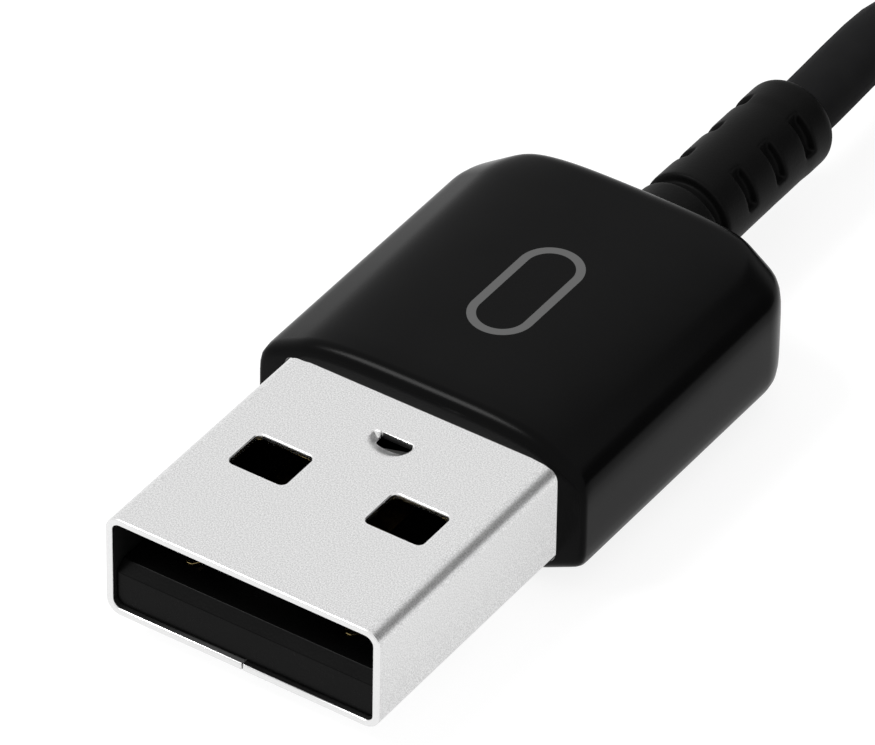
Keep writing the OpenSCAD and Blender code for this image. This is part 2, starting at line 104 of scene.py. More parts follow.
def squeezed(y):
    """How fully the tie draws the hank together: 1 under the tie, 0 at the hank's ends."""
    blend = (hank_run - tie_len) / 2
    return ease(min(y - hank_from, hank_from + hank_run - y) / blend)


def lane(y, k):
    """How far the inner turn (k = 0) or the outer one (k = 1) runs from the middle."""
    return hank_turn - (hank_turn - hank_waist) * squeezed(y) + k * hank_pitch


def layer(y, level):
    """Height of a turn's middle: the tie takes up the room under the lowest one."""
    open_z = lead_d / 2 + level * lead_d
    tied_z = tie_t + lead_d / 2 + level * (lead_d - tie_t / 3)
    return open_z + (tied_z - open_z) * squeezed(y)


def run(side, k, level, away, rise=0.0, rise_over=0.4):
    """The points of one straight run, from the near end to the far one or back."""
    n = int(hank_run / step)
    out = []
    for i in range(n):
        t = i / n if away else 1 - i / n
        y = hank_from + hank_run * t
        up = rise * ease((rise_over - t) / rise_over)
        out.append((side * lane(y, k), y, layer(y, level) + up))
    return out


def turn(x_from, x_to, y, level, z_to, rise_over=0.5):
    """A half turn from one run to another, round the far end or the near one."""
    r = abs(x_to - x_from) / 2
    n = int(math.pi * r / step)
    way = 1 if y > hank_from else -1
    out = []
    for i in range(n):
        a = math.pi * i / n
        z = level + (z_to - level) * ease(i / n / rise_over)
        out.append(((x_from + x_to) / 2 + (x_from - x_to) / 2 * math.cos(a),
                    y + way * r * math.sin(a), z))
    return out


def arc(cx, cy, r, a_from, a_to, z):
    """The points of a level arc, without its last one."""
    n = max(2, int(abs(a_to - a_from) * r / step))
    return [(cx + r * math.cos(a_from + (a_to - a_from) * i / n),
             cy + r * math.sin(a_from + (a_to - a_from) * i / n), z) for i in range(n)]


far_y = hank_from + hank_run
inner, outer = hank_turn, hank_turn + hank_pitch
entry_c = (inner - outer) / 2
entry_r = outer - entry_c
swing_r, swing_y = 12.2, 30.8
swing_from, swing_to = math.radians(35), math.radians(56)
lane_points = arc(swing_r, swing_y, swing_r, math.pi - swing_from, math.pi - swing_to, lead_d / 2)
lane_points += arc(entry_c, hank_from, entry_r, -swing_to, 0, lead_d / 2)
k = 1
for level in range(hank_levels):
    z = layer(hank_from, level)
    for second in (False, True):
        x = outer if k else inner
        lane_points += run(1, k, level, True)
        lane_points += turn(x, -x, far_y, z, z)
        last = level == hank_levels - 1 and second
        lane_points += run(-1, k, level, False, rise=end_rise if last else 0.0)
        if last:
            break
        if second:
            lane_points += turn(-x, x, hank_from, z, layer(hank_from, level + 1))
        else:
            other = inner if k else outer
            lane_points += turn(-x, other, hank_from, z, z)
            k = 1 - k
end_x, end_z = 4.8, 13.1
end_steps, end_step = 10, 0.95
lane_points += turn(-outer, end_x, hank_from, z + end_rise, end_z)
lane_points += [(end_x, hank_from + end_step * i, end_z) for i in range(end_steps + 1)]


def add_piece(name, data, *materials):
    """Puts a finished mesh or curve in the scene, riding on the one body that there is."""
    piece = bpy.data.objects.new(name, data)
    bpy.context.scene.collection.objects.link(piece)
    for material in materials:
        data.materials.append(material)
    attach(piece, "root")
    return piece


def plastic(name, colour, roughness, ior, grain, grain_size):
    """A moulded plastic or rubber: one dark colour with a fine grain in its surface."""
    material = bpy.data.materials.new(name)
    material.use_nodes = True
    nodes, links = material.node_tree.nodes, material.node_tree.links
    shader = nodes["Principled BSDF"]
    shader.inputs["IOR"].default_value = ior
    place = nodes.new("ShaderNodeTexCoord")
    cloud = nodes.new("ShaderNodeTexNoise")
    cloud.inputs["Scale"].default_value = 600
    cloud.inputs["Detail"].default_value = 6
    links.new(place.outputs["Object"], cloud.inputs["Vector"])
    tint = nodes.new("ShaderNodeValToRGB")
    tint.color_ramp.elements[0].color = (*[c * 0.75 for c in colour], 1)
    tint.color_ramp.elements[1].color = (*[c * 1.25 for c in colour], 1)
    links.new(cloud.outputs["Fac"], tint.inputs["Fac"])
    links.new(tint.outputs["Color"], shader.inputs["Base Color"])
    shine = nodes.new("ShaderNodeMapRange")
    shine.inputs["To Min"].default_value = roughness * 0.85
    shine.inputs["To Max"].default_value = roughness * 1.15
    links.new(cloud.outputs["Fac"], shine.inputs["Value"])
    links.new(shine.outputs["Result"], shader.inputs["Roughness"])
    speckle = nodes.new("ShaderNodeTexNoise")
    speckle.inputs["Scale"].default_value = 1 / grain_size
    speckle.inputs["Detail"].default_value = 3
    links.new(place.outputs["Object"], speckle.inputs["Vector"])
    relief = nodes.new("ShaderNodeBump")
    relief.inputs["Strength"].default_value = grain
    relief.inputs["Distance"].default_value = grain_size / 4
    links.new(speckle.outputs["Fac"], relief.inputs["Height"])
    links.new(relief.outputs["Normal"], shader.inputs["Normal"])
    return material


jacket = plastic("lead_jacket", (0.013, 0.013, 0.0134), 0.55, 1.06, 0.10, 0.00008)
points = [Vector(p) * MM for p in route + lane_points]
curve = bpy.data.curves.new("lead", "CURVE")
curve.dimensions = "3D"
curve.bevel_depth = lead_d / 2 * MM
curve.bevel_resolution = 6
curve.use_fill_caps = True
spline = curve.splines.new("POLY")
spline.points.add(len(points) - 1)
for spot, p in zip(spline.points, points):
    spot.co = (*p, 1)
lead = add_piece("lead", curve, jacket)
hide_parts("lead_run", "lead_bundle")

# ---- tie ----
# A short band of soft rubber holds the hank together in the middle. It is a moulded loop
# with rounded edges.
weld = 1e-7


def as_mesh(shape, name):
    """Hands a drawn shape over as a mesh."""
    data = bpy.data.meshes.new(name)
    shape.to_mesh(data)
    shape.free()
    return data


def dressed(node, name, edge, slot_name, *materials):
    """A copy of a moulded or stamped part with its edges rounded as the tool leaves them."""
    sharp, flat = math.radians(35), math.radians(1)
    shape = bmesh.new()
    shape.from_mesh(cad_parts[node].data)
    bmesh.ops.remove_doubles(shape, verts=shape.verts, dist=weld)
    bmesh.ops.dissolve_limit(shape, angle_limit=flat, verts=shape.verts, edges=shape.edges)
    data = as_mesh(shape, name)
    data.shade_smooth()
    data.set_sharp_from_angle(angle=sharp)
    piece = add_piece(name, data, *materials)
    rounding = piece.modifiers.new("rounding", "BEVEL")
    rounding.width = edge
    rounding.segments = 3
    rounding.limit_method = "ANGLE"
    rounding.angle_limit = sharp
    rounding.harden_normals = True
    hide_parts(node)
    return piece


rubber = plastic("soft_rubber", (0.003, 0.003, 0.003), 0.50, 1.14, 0.25, 0.00010)
tie = dressed("bundle_tie", "hank_tie", 0.00015, "relief_rubber", rubber)

# ---- connector on the far end ----
# A small oval metal nose in a moulded housing of its own, with a ringed sleeve behind it. It
# lies on top of the hank.
hard_black = ((0.0016, 0.0016, 0.0017), 0.24, 1.135, 0.04, 0.00012)
moulding = plastic("moulded_housing", *hard_black)
dark_plastic = plastic("dark_insulator", (0.0025, 0.0025, 0.0025), 0.27, 1.14, 0.1, 0.0001)


def nickel(name, level, roughness, grain, contrast):
    """Bead-blasted nickel plating: a pale metal with a fine bright and dark speckle."""
    material = bpy.data.materials.new(name)
    material.use_nodes = True
    nodes, links = material.node_tree.nodes, material.node_tree.links
    shader = nodes["Principled BSDF"]
    shader.inputs["Metallic"].default_value = 1
    place = nodes.new("ShaderNodeTexCoord")
    speckle = nodes.new("ShaderNodeTexNoise")
    speckle.inputs["Scale"].default_value = 1 / grain
    speckle.inputs["Detail"].default_value = 2
    speckle.inputs["Roughness"].default_value = 0.6
    links.new(place.outputs["Object"], speckle.inputs["Vector"])
    tint = nodes.new("ShaderNodeValToRGB")
    tint.color_ramp.elements[0].position = 0.35
    tint.color_ramp.elements[1].position = 0.65
    for stop, part in zip(tint.color_ramp.elements, (1 - contrast, 1 + contrast)):
        stop.color = (level * part, level * part, level * part, 1)
    links.new(speckle.outputs["Fac"], tint.inputs["Fac"])
    links.new(tint.outputs["Color"], shader.inputs["Base Color"])
    shine = nodes.new("ShaderNodeMapRange")
    shine.inputs["To Min"].default_value = roughness * 0.8
    shine.inputs["To Max"].default_value = roughness * 1.2
    links.new(speckle.outputs["Fac"], shine.inputs["Value"])
    links.new(shine.outputs["Result"], shader.inputs["Roughness"])
    relief = nodes.new("ShaderNodeBump")
    relief.inputs["Strength"].default_value = contrast
    relief.inputs["Distance"].default_value = grain / 4
    links.new(speckle.outputs["Fac"], relief.inputs["Height"])
    links.new(relief.outputs["Normal"], shader.inputs["Normal"])
    return material


satin = nickel("satin_nickel", 0.69, 0.38, 0.00005, 0.23)
end_nose = dressed("end_nose", "far_nose", 0.00006, "shell_metal", satin)
end_insert = dressed("end_insert", "far_insert", 0.00006, "insulator_plastic", dark_plastic)
end_housing = dressed("end_housing", "far_housing", 0.0004, "housing_plastic", moulding)
end_relief = dressed("end_relief", "far_sleeve", 0.00012, "relief_rubber", rubber)

# ---- metal shell ----
# One strip of nickel-plated steel, 0.3 mm thick, is punched, folded into a flat tube and
# butted along the underside. The windows take the socket's latches, and a tongue pressed in
# between them stops the insulator.
mouth = -plug_end
shell_w, shell_h, sheet, fold_r = 12.0, 4.5, 0.3, 0.65
shell_len = 15.6
fold_steps, under_steps = 8, 12
grid_x = {"coarse": 0.8, "dense_low": -1.05, "dense_high": 1.44, "fine": 0.083}
grid_y = {"coarse": 0.7, "dense_low": 8.2, "dense_high": 9.95, "fine": 0.07}
punch_x, punch_through = 0.12, 4
window_x, window_y, window_w, window_h, window_r = 3.0, 6.0, 2.5, 2.0, 0.25
press = {"left": -0.84, "right": 1.12, "front": 8.35, "back": 9.57, "depth": 0.32,
         "steepness": 1.3, "flank": 0.42}
slot_outline = [(-0.46, 9.44), (0.58, 9.44), (0.72, 9.24), (0.94, 9.16), (1.0, 9.36), (0.9, 9.64),
                (-0.46, 9.64)]
slot_depth, slot_above = 0.9, 0.5


def stations(low, high, coarse, dense_low, dense_high, fine):
    """Grid lines from low to high: coarse ones, and fine ones over the pressed tongue."""
    out = []
    stretches = ((low, dense_low, coarse), (dense_low, dense_high, fine), (dense_high, high, coarse))
    for a, b, wanted in stretches:
        n = max(1, round((b - a) / wanted))
        out += [a + (b - a) * i / n for i in range(n)]
    return out + [high]


def shell_ring():
    """The folded section, clockwise seen from the front, as (x, z)."""
    flat_x, flat_z = shell_w / 2 - fold_r, shell_h / 2 - fold_r
    ring = [(x, shell_h / 2) for x in stations(-flat_x, flat_x, **grid_x)]
    folds = ((flat_x, flat_z, 90), (flat_x, -flat_z, 0), (-flat_x, -flat_z, -90), (-flat_x, flat_z, -180))
    for cx, cz, start in folds:
        for i in range(1, fold_steps + 1):
            a = math.radians(start - 90 * i / fold_steps)
            ring.append((cx + fold_r * math.cos(a), cz + fold_r * math.sin(a)))
        if start == 0:
            ring += [(flat_x - 2 * flat_x * i / under_steps, -shell_h / 2) for i in range(1, under_steps)]
    return ring[:-1]


def pressed(x, y):
    """How far the top is pressed in: a D-shaped dimple, its arc towards the mouth."""
    half = (press["right"] - press["left"]) / 2
    across = (x - (press["left"] + press["right"]) / 2) / half
    if y >= press["back"] or abs(across) >= 1:
        return 0.0
    reach = (press["back"] - press["front"]) * math.sqrt(1 - across ** 2)
    along = (y - press["back"] + reach) / reach
    if along <= 0:
        return 0.0
    flank = ease((1 - abs(across)) / press["flank"])
    return press["depth"] * ease(min(1, along * press["steepness"])) * flank


def prism(name, outline, low, high):
    """A closed prism over an outline in the plane, from z = low to z = high."""
    shape = bmesh.new()
    foot = [shape.verts.new((x * MM, y * MM, low * MM)) for x, y in outline]
    head = [shape.verts.new((x * MM, y * MM, high * MM)) for x, y in outline]
    shape.faces.new(foot)
    shape.faces.new(head)
    for i in range(len(outline)):
        n = (i + 1) % len(outline)
        shape.faces.new((foot[i], foot[n], head[n], head[i]))
    bmesh.ops.recalc_face_normals(shape, faces=shape.faces)
    return as_mesh(shape, name)


def cut_away(piece, outline, low, high, wall_material):
    """Takes a prism out of a piece; the outline is measured from the mouth, z from the axis."""
    placed = [(x, mouth + y) for x, y in outline]
    cutter = bpy.data.objects.new("cutter", prism("cutter", placed, axis_z + low, axis_z + high))
    cutter.data.materials.append(wall_material)
    bpy.context.scene.collection.objects.link(cutter)
    cut = piece.modifiers.new("cut", "BOOLEAN")
    cut.operation = "DIFFERENCE"
    cut.solver = "EXACT"
    cut.material_mode = "TRANSFER"
    cut.object = cutter
    return cutter


def rounded_outline(cx, cy, w, h, r, steps=6):
    """A rectangle with rounded corners."""
    out = []
    for sx, sy, start in ((1, 1, 0), (-1, 1, 90), (-1, -1, 180), (1, -1, 270)):
        for i in range(steps + 1):
            a = math.radians(start + 90 * i / steps)
            out.append((cx + sx * (w / 2 - r) + r * math.cos(a), cy + sy * (h / 2 - r) + r * math.sin(a)))
    return out


def bake(piece):
    """Turns what the modifiers make into a plain mesh and clears them."""
    graph = bpy.context.evaluated_depsgraph_get()
    data = bpy.data.meshes.new_from_object(piece.evaluated_get(graph))
    piece.modifiers.clear()
    piece.data = data


shape = bmesh.new()
ring = shell_ring()
rows = []
for y in stations(0, shell_len, **grid_y):
    row = []
    for x, z in ring:
        drop = pressed(x, y) if z > shell_h / 2 - 1e-6 else 0
        row.append(shape.verts.new((x * MM, (mouth + y) * MM, (axis_z + z - drop) * MM)))
    rows.append(row)
for near, far in zip(rows, rows[1:]):
    for i in range(len(ring)):
        n = (i + 1) % len(ring)
        shape.faces.new((near[i], far[i], far[n], near[n]))
bmesh.ops.recalc_face_normals(shape, faces=shape.faces)
data = as_mesh(shape, "plug_shell")
# The sheet's inner faces and the walls of the tongue's slot and of the seam are painted near black:
# painted shade, not the metal's own colour.
inside = nickel("painted_shade_inside", 0.05, 0.5, 0.00007, 0.1)
sheared = nickel("sheared_edge", 0.75, 0.24, 0.00007, 0.02)
shell = add_piece("plug_shell", data, satin, inside, sheared)
wall = shell.modifiers.new("wall", "SOLIDIFY")
wall.thickness = sheet * MM
wall.offset = -1
wall.use_even_offset = True
wall.material_offset = 1
wall.material_offset_rim = 2
cutters = []
for side in (-1, 1):
    window = rounded_outline(punch_x + side * window_x, window_y, window_w, window_h, window_r)
    cutters.append(cut_away(shell, window, -punch_through, punch_through, sheared))
cutters.append(cut_away(shell, slot_outline, shell_h / 2 - slot_depth, shell_h / 2 + slot_above, inside))
seam_half, seam_mid, tail_half, tail_root, tail_tip = 0.03, 6.84, 0.8, 0.5, 0.8
seam_low, seam_high = -shell_h / 2 - 0.2, -shell_h / 2 + 0.5
tail_from, tail_to, seam_w = seam_mid - tail_half, seam_mid + tail_half, 2 * seam_half
for outline in (
        [(-seam_half, -1), (seam_half, -1), (seam_half, tail_from), (-seam_half, tail_from)],
        [(-seam_half, tail_to), (seam_half, tail_to), (seam_half, shell_len + 1),
         (-seam_half, shell_len + 1)],
        [(-seam_half, tail_from), (-seam_half, tail_from - seam_w),
         (tail_root + seam_half, tail_from - seam_w), (tail_tip + seam_half, tail_to + seam_w),
         (-seam_half, tail_to + seam_w), (-seam_half, tail_to),
         (tail_tip - seam_half, tail_to), (tail_root - seam_half, tail_from)]):
    cutters.append(cut_away(shell, outline, seam_low, seam_high, inside))
bake(shell)
for cutter in cutters:
    bpy.data.objects.remove(cutter)
# The punched and folded edges are rolled over, the tongue's less than the others and the
# seam's not at all.
roll_from, roll_w, tongue_part = math.radians(55), 0.08, 0.4
tongue_x, tongue_y = (-0.6, 1.1), (9.0, 9.8)
seam_reach, seam_from = 1, 0.05
shape = bmesh.new()
shape.from_mesh(shell.data)
bmesh.ops.remove_doubles(shape, verts=shape.verts, dist=weld)
bmesh.ops.dissolve_limit(shape, angle_limit=math.radians(0.5), verts=shape.verts, edges=shape.edges)
roll = shape.edges.layers.float.new("bevel_weight_edge")
for edge in shape.edges:
    if edge.calc_face_angle(0) < roll_from:
        continue
    x, y, z = (edge.verts[0].co + edge.verts[1].co) / 2 / MM
    on_seam = abs(x) < seam_reach and z < axis_z and y > mouth + seam_from
    on_tongue = (tongue_x[0] < x < tongue_x[1] and tongue_y[0] < y - mouth < tongue_y[1]
                 and z > axis_z)
    edge[roll] = 0 if on_seam else tongue_part if on_tongue else 1
shape.to_mesh(shell.data)
shape.free()
rounding = shell.modifiers.new("rounding", "BEVEL")
rounding.width = roll_w * MM
rounding.segments = 3
rounding.limit_method = "WEIGHT"
rounding.material = 2
rounding.use_clamp_overlap = False
weighted = shell.modifiers.new("weighted", "WEIGHTED_NORMAL")
weighted.keep_sharp = True
shell.data.shade_smooth()
bake(shell)
# The rounding leaves a few doubled points and a crack at the tongue, which are closed here.
shape = bmesh.new()
shape.from_mesh(shell.data)
bmesh.ops.remove_doubles(shape, verts=shape.verts, dist=weld)
bmesh.ops.holes_fill(shape, edges=[edge for edge in shape.edges if edge.is_boundary])
shape.to_mesh(shell.data)
shape.free()
shell.data.set_sharp_from_angle(angle=math.radians(60))
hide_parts("shell")

# ---- insulator and contacts ----
# A black moulded block closes the back of the mouth, and its ledge carries four gold-plated
# strips, each with a tapered tip that is tucked into its groove. The ledge's leading edge is
# chamfered to lead the socket's tongue in.
insulator = dressed("insulator", "insulator_block", 0.00003, "insulator_plastic", dark_plastic)
gold = bpy.data.materials.new("gold_painted_shade")
gold.use_nodes = True
gold_nodes, gold_links = gold.node_tree.nodes, gold.node_tree.links
gold_shader = gold_nodes["Principled BSDF"]
gold_shader.inputs["Metallic"].default_value = 1
gold_place = gold_nodes.new("ShaderNodeTexCoord")
gold_streaks = gold_nodes.new("ShaderNodeTexNoise")
gold_streaks.inputs["Scale"].default_value = 8000
gold_links.new(gold_place.outputs["Object"], gold_streaks.inputs["Vector"])
gold_tint = gold_nodes.new("ShaderNodeValToRGB")
# The gold is set at about half the brightness of plated gold, as painted shade on the strips inside the
# shell.
gold_tint.color_ramp.elements[0].color = (0.32, 0.24, 0.10, 1)
gold_tint.color_ramp.elements[1].color = (0.40, 0.31, 0.14, 1)
gold_links.new(gold_streaks.outputs["Fac"], gold_tint.inputs["Fac"])
gold_links.new(gold_tint.outputs["Color"], gold_shader.inputs["Base Color"])
gold_shader.inputs["Roughness"].default_value = 0.25
strip_half, tip_half, taper, strip_t, strip_end = 0.5, 0.10, 0.5, 0.19, 18.4
strips = {"vbus": (3.5, 1.7), "d_minus": (1.0, 2.7), "d_plus": (-1.0, 2.7), "ground": (-3.5, 1.7)}
for line, (x, tip) in strips.items():
    outline = [(-tip_half, tip), (tip_half, tip), (strip_half, tip + taper), (strip_half, strip_end),
               (-strip_half, strip_end), (-strip_half, tip + taper)]
    placed = [(x + a, mouth + b) for a, b in outline]
    data = prism("strip_" + line, placed, axis_z - strip_t, axis_z)
    strip = add_piece("strip_" + line, data, gold)
    eased = strip.modifiers.new("eased", "BEVEL")
    eased.width = 0.03 * MM
    eased.segments = 3
    data.shade_smooth()
    data.set_sharp_from_angle(angle=math.radians(35))
    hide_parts("contact_" + line)

# ---- inside the housing ----
# The strips' tails are soldered to the lead's four cores. A folded steel shield laps over
# the shell's end and is crimped on the lead's braid.
tin = nickel("bright_solder", 0.70, 0.2, 0.0001, 0.1)
steel = nickel("folded_shield", 0.66, 0.35, 0.0001, 0.1)
copper = nickel("copper_braid", 0.6, 0.4, 0.0001, 0.1)
copper_tint = copper.node_tree.nodes["Color Ramp"].color_ramp
copper_tint.elements[0].color = (0.50, 0.24, 0.14, 1)
copper_tint.elements[1].color = (0.72, 0.40, 0.26, 1)
core_colours = {"vbus": (0.45, 0.02, 0.02), "d_minus": (0.65, 0.65, 0.62), "d_plus": (0.02, 0.22, 0.05),
                "ground": (0.01, 0.01, 0.01)}


def finish_node(node, material):
    """Gives a piece that is shown as it is in the frame its material."""
    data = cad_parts[node].data
    data.materials.clear()
    data.materials.append(material)


for line, colour in core_colours.items():
    finish_node("core_" + line, plastic("core_" + line, colour, 0.4, 1.4, 0.05, 0.0001))
    finish_node("solder_" + line, tin)
finish_node("rear_shield", steel)
finish_node("braid", copper)
finish_node("jacket_end", jacket)

# ---- housing ----
# The shell's end is overmoulded with hard black plastic. The section has a lightly crowned
# top and underside, sloping shoulders and short upright sides, and the ends are rounded. A
# plain grey oval is printed on the top, to tell it from the underside.
body_from, body_len = 11.4, 15.2
body_w, body_h, side_h = 14.5, 6.7, 3.9
edge_front, edge_rear, edge_drop = 5.1, 5.55, 0.3
front_r, front_side_r, corner_r, rear_r = 0.6, 0.2, 2.6, 0.9
shell_play, shell_hole, sleeve_r, sleeve_hole = 0.05, 3.9, 1.985, 2.0
crown_steps, slope_steps, side_steps, softenings = 14, 10, 4, 3
front_steps, straight_steps, rear_steps = 10, 12, 24


def half_profile(t):
    """The section from the middle of the top to the middle of the side, t along the housing."""
    edge_x = edge_front + (edge_rear - edge_front) * t
    edge_z = body_h / 2 - edge_drop
    crown = [(edge_x * i / crown_steps, body_h / 2 - edge_drop * (i / crown_steps) ** 4)
             for i in range(crown_steps)]
    slope = Vector((body_w / 2 - edge_x, side_h / 2 - edge_z))
    shoulder = [(edge_x + slope.x * i / slope_steps, edge_z + slope.y * i / slope_steps)
                for i in range(slope_steps + 1)]
    side = [(body_w / 2, side_h / 2 * (1 - i / side_steps)) for i in range(1, side_steps + 1)]
    line = crown + shoulder + side
    for again in range(softenings):
        line = [line[0]] + [tuple((Vector(line[i - 1]) + 2 * Vector(line[i]) + Vector(line[i + 1])) / 4)
                            for i in range(1, len(line) - 1)] + [line[-1]]
    return line


def body_ring(t):
    """The whole section at t along the housing, mirrored from a quarter of it."""
    quarter = half_profile(t)
    right = quarter + [(x, -z) for x, z in reversed(quarter[:-1])]
    left = [(-x, z) for x, z in reversed(right[1:-1])]
    return right + left


def inset(t, r):
    """How far an end's rounding of radius r draws the surface in, t from that end."""
    return 0 if t >= r else r - math.sqrt(max(0, r * r - (r - t) ** 2))


def hole_ring(ring, shape_at):
    """A ring of the same number of points on a hole's edge, each at its own angle."""
    return [shape_at(math.atan2(z, x)) for x, z in ring]


def slot_edge(angle, w=shell_w / 2 + shell_play, h=shell_h / 2 + shell_play):
    """Where a line from the middle meets the opening round the shell."""
    c, s = math.cos(angle), math.sin(angle)
    reach = 1 / max(abs(c) / w, abs(s) / h)
    x, z = reach * c, reach * s
    cx, cz = w - fold_r, h - fold_r
    if abs(x) > cx and abs(z) > cz:
        b = abs(c) * cx + abs(s) * cz
        reach = b + math.sqrt(max(0, b * b - cx * cx - cz * cz + fold_r * fold_r))
        x, z = reach * c, reach * s
    return x, z


shape = bmesh.new()
lengths = [front_r * (1 - math.cos(math.pi / 2 * i / front_steps)) for i in range(front_steps)]
lengths += [front_r + (body_len - corner_r - front_r) * i / straight_steps
            for i in range(straight_steps)]
lengths += [body_len - corner_r * (1 - math.sin(math.pi / 2 * i / rear_steps))
            for i in range(rear_steps + 1)]
loops = []
first = body_ring(0)
for depth in (shell_hole, 0.0):
    loops.append([(x, depth, z) for x, z in hole_ring(first, slot_edge)])
for t in lengths:
    wide = 1 - 2 * max(inset(t, front_side_r), inset(body_len - t, corner_r)) / body_w
    high = 1 - 2 * max(inset(t, front_r), inset(body_len - t, rear_r)) / body_h
    loops.append([(x * wide, t, z * high) for x, z in body_ring(t / body_len)])
for depth in (0.0, sleeve_hole):
    loops.append([(x, body_len - depth, z) for x, z in hole_ring(
        first, lambda a: (lead_x + sleeve_r * math.cos(a), sleeve_r * math.sin(a)))])
verts = [[shape.verts.new((x * MM, (mouth + body_from + y) * MM, (axis_z + z) * MM)) for x, y, z in loop]
         for loop in loops]
for a, b in zip(verts, verts[1:]):
    for i in range(len(a)):
        n = (i + 1) % len(a)
        shape.faces.new((a[i], b[i], b[n], a[n]))
shape.faces.new(verts[0])
shape.faces.new(list(reversed(verts[-1])))
bmesh.ops.recalc_face_normals(shape, faces=shape.faces)
data = as_mesh(shape, "plug_housing")
data.shade_smooth()
data.set_sharp_from_angle(angle=math.radians(50))
printed = plastic("printed_housing", *hard_black)
nodes, links = printed.node_tree.nodes, printed.node_tree.links


def sum_up(operation, first, second):
    """One step of arithmetic on the print's outline."""
    sum_node = nodes.new("ShaderNodeMath")
    sum_node.operation = operation
    for socket, value in zip(sum_node.inputs, (first, second)):
        if isinstance(value, bpy.types.NodeSocket):
            links.new(value, socket)
        else:
            socket.default_value = value
    return sum_node.outputs[0]


mark_y, mark_run, mark_r, mark_line, mark_above = -0.1, 1.6, 1.15, 0.36, 3.0
split = nodes.new("ShaderNodeSeparateXYZ")
links.new(nodes["Texture Coordinate"].outputs["Object"], split.inputs[0])
past_end = sum_up("MAXIMUM", sum_up("SUBTRACT", sum_up("ABSOLUTE", sum_up(
    "SUBTRACT", split.outputs["Y"], mark_y * MM), 0), mark_run * MM), 0)
reach = sum_up("SQRT", sum_up("ADD", sum_up("POWER", sum_up("ABSOLUTE", split.outputs["X"], 0), 2),
                              sum_up("POWER", past_end, 2)), 0)
off_line = sum_up("ABSOLUTE", sum_up("SUBTRACT", reach, mark_r * MM), 0)
inked = sum_up("MULTIPLY", sum_up("LESS_THAN", off_line, mark_line / 2 * MM),
               sum_up("GREATER_THAN", split.outputs["Z"], (axis_z + mark_above) * MM))
ink = nodes.new("ShaderNodeMix")
ink.data_type = "RGBA"
ink.inputs["B"].default_value = (0.11, 0.11, 0.11, 1)
links.new(inked, ink.inputs["Factor"])
links.new(nodes["Color Ramp"].outputs["Color"], ink.inputs["A"])
links.new(ink.outputs["Result"], nodes["Principled BSDF"].inputs["Base Color"])
housing = add_piece("plug_housing", data, printed)
housing.visible_glossy = False
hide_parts("housing")

# ---- strain relief ----
# A sleeve of softer rubber, moulded round the lead. Short slots across it, held together by a
# plain band on each side and a spine on the top and underside, let it bend.
body_end = body_from + body_len
relief_len, relief_end_r = 10.4, 0.5
bore_r, flange_r, flange_len, waist_r = 1.31, 1.97, 1.8, 1.92
bead_r, bead_len, blend = 1.95, 1.6, 0.5


def revolved(profile, sides):
    """A closed solid turned about the lead's axis from (radius, y) points."""
    shape = bmesh.new()
    rings = []
    for r, y in profile:
        ring = []
        for i in range(sides):
            a = 2 * math.pi * i / sides
            ring.append(shape.verts.new(((lead_x + r * math.cos(a)) * MM, (mouth + y) * MM,
                                         (axis_z + r * math.sin(a)) * MM)))
        rings.append(ring)
    for a, b in zip(rings, rings[1:] + rings[:1]):
        for i in range(sides):
            n = (i + 1) % sides
            shape.faces.new((a[i], b[i], b[n], a[n]))
    bmesh.ops.recalc_face_normals(shape, faces=shape.faces)
    return as_mesh(shape, "sleeve")


end_y = body_end + relief_len
bead_from = end_y - bead_len
profile = [(bore_r, body_end - flange_len), (flange_r, body_end - flange_len),
           (flange_r, body_end + blend), (waist_r, body_end + relief_len / 2),
           (waist_r, bead_from - blend), (bead_r, bead_from)]
profile += [(bead_r - relief_end_r + relief_end_r * math.cos(math.pi / 2 * i / 6),
             end_y - relief_end_r + relief_end_r * math.sin(math.pi / 2 * i / 6)) for i in range(7)]
profile += [(bore_r, end_y)]
sleeve = add_piece("strain_relief_sleeve", revolved(profile, 64), rubber)


def add_node(tree, kind, **inputs):
    """A node with its inputs given by name, each a value or another node's output."""
    node = tree.nodes.new(kind)
    for key, value in inputs.items():
        if isinstance(value, bpy.types.NodeSocket):
            tree.links.new(value, node.inputs[key.replace("_", " ")])
        else:
            node.inputs[key.replace("_", " ")].default_value = value
    return node


# The slots' sizes in mm are the node group's inputs: one slot runs over the top, the others
# are cut in a row on both flanks.
slots = bpy.data.node_groups.new("relief_slots", "GeometryNodeTree")
slots.interface.new_socket("Geometry", in_out="INPUT", socket_type="NodeSocketGeometry")
slots.interface.new_socket("Geometry", in_out="OUTPUT", socket_type="NodeSocketGeometry")
sizes = {"First slot": 2.4, "Pitch": 2.05, "Slot width": 0.62, "Band": 1.27, "Band middle": -0.465,
         "Spine": 1.9, "Floor": 1.55}
for name in sizes:
    slots.interface.new_socket(name, in_out="INPUT", socket_type="NodeSocketFloat")
slots.interface.new_socket("Side slots", in_out="INPUT", socket_type="NodeSocketInt")
given = slots.nodes.new("NodeGroupInput").outputs
quarter_turn = (math.pi / 2, 0, 0)
side_slots = 3
cutter_r, core_len, across, deep = 3 * MM, 4 * MM, 8 * MM, 5 * MM


